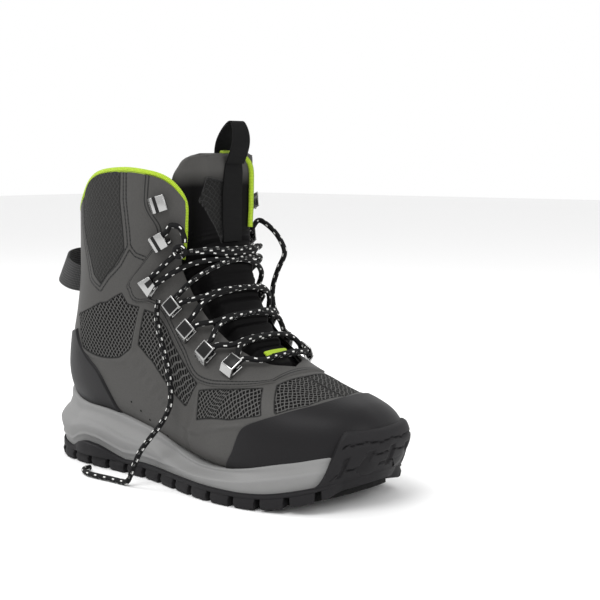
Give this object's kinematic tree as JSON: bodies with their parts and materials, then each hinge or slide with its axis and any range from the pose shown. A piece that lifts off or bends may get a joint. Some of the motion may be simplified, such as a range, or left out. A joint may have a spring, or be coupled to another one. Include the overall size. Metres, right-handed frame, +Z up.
{
  "type": "wading boot",
  "caption": "Laced ankle-high wading boot for the right foot, with felt under a lugged rubber rand, a padded tongue and a heel strap.",
  "frame": {"origin": "middle of the boot's footprint on the ground, the free lace left out", "axes": "+X to the toe, +Y to the inner side of the foot, +Z up"},
  "size_m": [0.3184, 0.133, 0.261],
  "materials": {
    "coated_textile": "coated textile, matt",
    "moulded_cap": "smooth moulded cap",
    "midsole_foam": "moulded foam",
    "rubber": "matt rubber",
    "felt": "dense felt",
    "lining": "knitted lining",
    "webbing": "woven webbing",
    "bright_tab": "lime woven tab",
    "steel": "plated steel",
    "lace": "round braided lace"
  },
  "bodies": {
    "root": {"upper": "coated_textile", "lace_plate": "coated_textile", "tongue": "coated_textile", "toe_cap": "moulded_cap", "heel_counter": "moulded_cap", "midsole": "midsole_foam", "outsole": "rubber", "felt_pad": "felt", "insole": "lining", "tongue_web": "webbing", "pull_loop": "webbing", "heel_strap": "webbing", "lace_keeper": "bright_tab", "bracket_lateral_1": "steel", "bracket_lateral_2": "steel", "bracket_lateral_3": "steel", "bracket_lateral_4": "steel", "ankle_lock_lateral": "steel", "hook_lateral_1": "steel", "hook_lateral_2": "steel", "bracket_medial_1": "steel", "bracket_medial_2": "steel", "bracket_medial_3": "steel", "bracket_medial_4": "steel", "ankle_lock_medial": "steel", "hook_medial_1": "steel", "hook_medial_2": "steel", "lace_crossings": "lace", "lace_knot": "lace", "lace_end": "lace", "lace_loop_lateral": "lace", "lace_loop_medial": "lace"}
  },
  "joints": []
}
